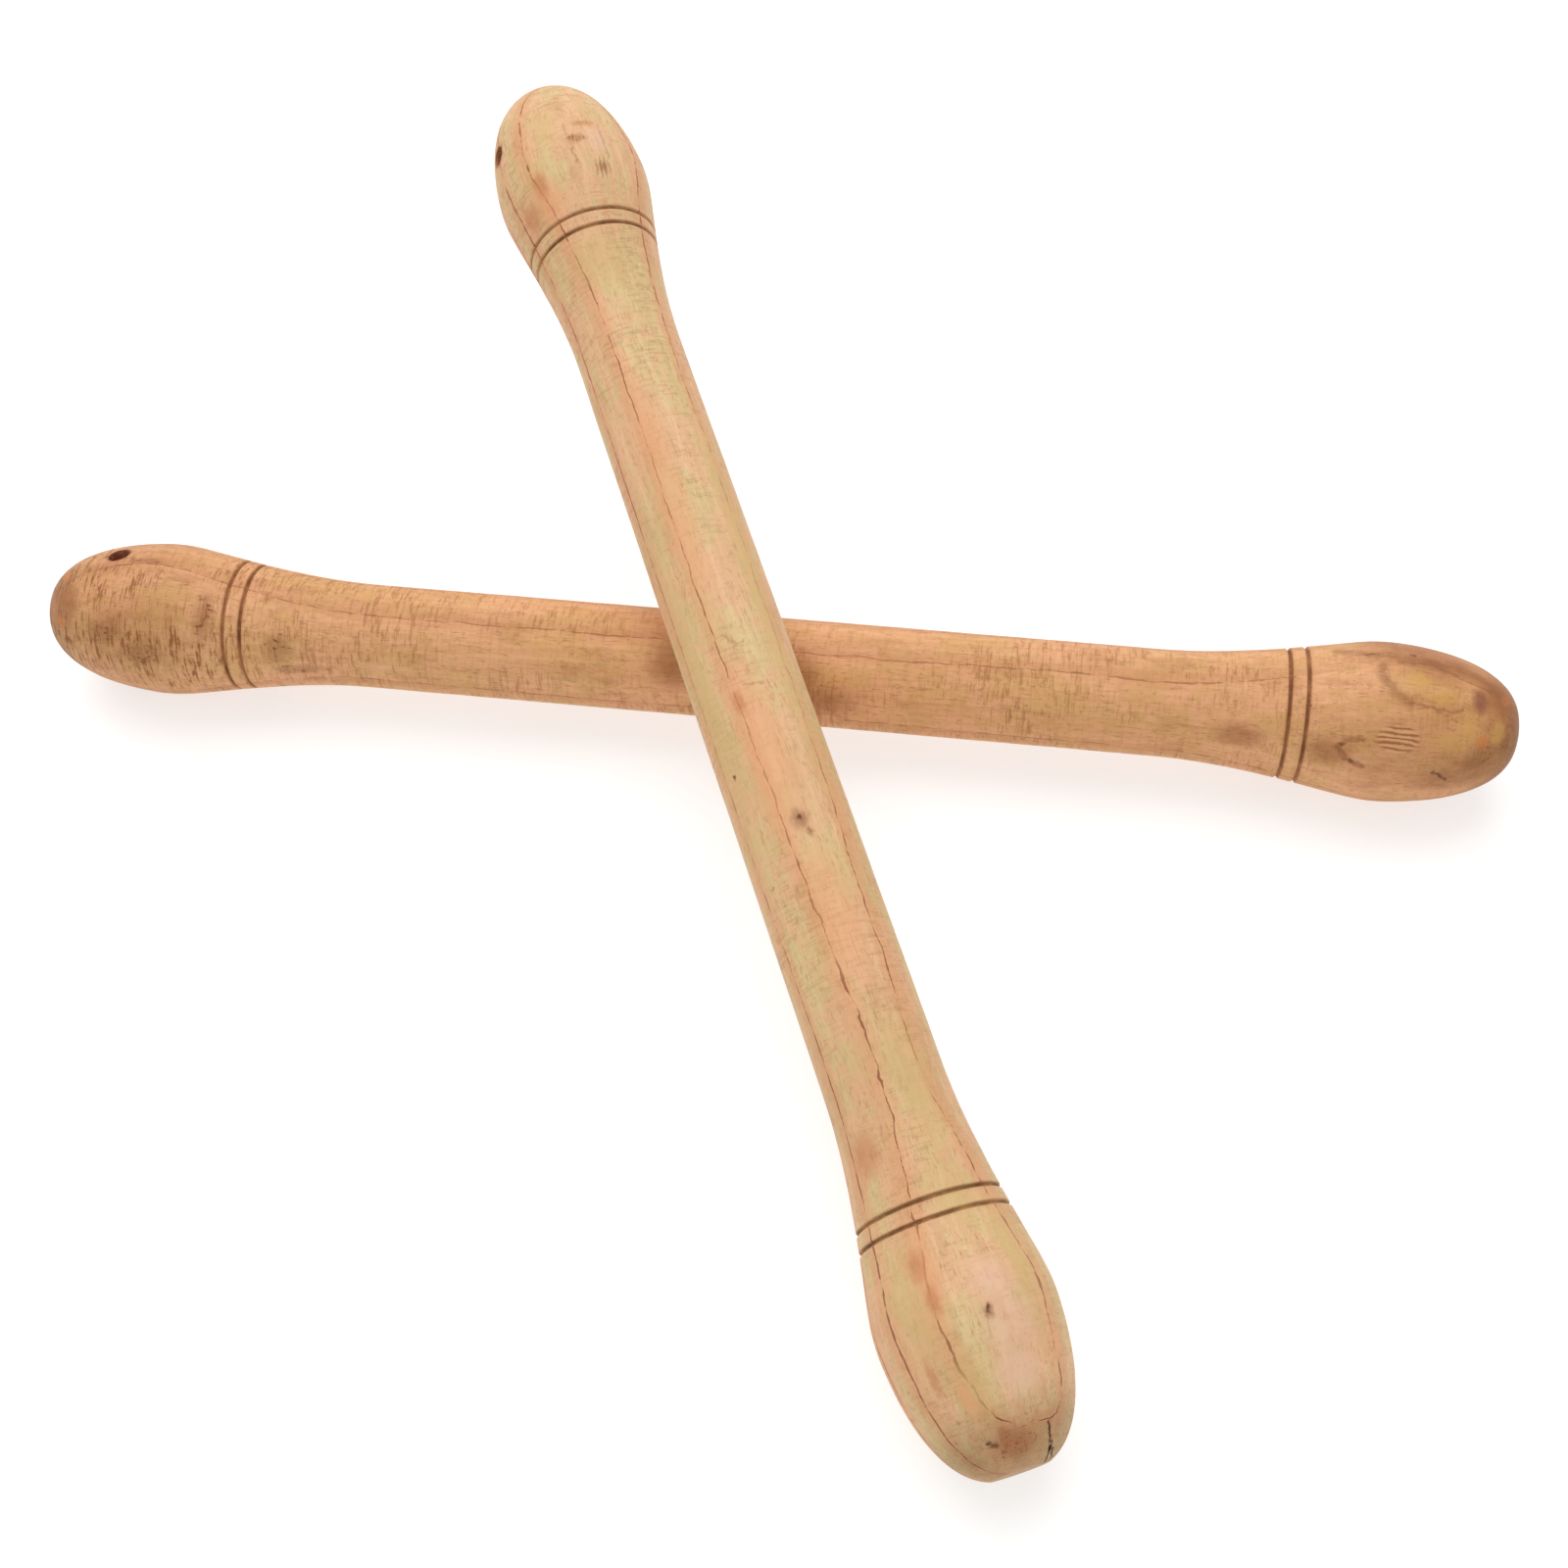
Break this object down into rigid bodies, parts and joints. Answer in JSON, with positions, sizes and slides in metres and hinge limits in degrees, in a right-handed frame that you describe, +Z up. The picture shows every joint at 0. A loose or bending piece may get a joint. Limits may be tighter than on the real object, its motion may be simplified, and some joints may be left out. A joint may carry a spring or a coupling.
{
  "type": "claves",
  "caption": "Turned hardwood claves lying crossed, each a slim round shaft swelling to a rounded head at both ends, with burnt lines below each head.",
  "frame": {"origin": "centre of the bounding box of the crossed pair in plan, on the table plane they lie on", "axes": "+X along the held clave, from the end with its cord hole to the other; +Y from the near side to the far side; +Z up from the table"},
  "size_m": [0.25, 0.2264, 0.0586],
  "materials": {
    "brown_hardwood": "satin, sanded and lightly oiled",
    "pale_hardwood": "satin, sanded and lightly oiled"
  },
  "bodies": {
    "held_clave": {"held_clave": "brown_hardwood"},
    "striking_clave": {"striking_clave": "pale_hardwood"}
  },
  "joints": [
    {"name": "striking_clave_lift", "type": "slide", "parent": "held_clave", "child": "striking_clave", "axis": [0, 0, 1], "range_m": [0, 0.08]}
  ]
}
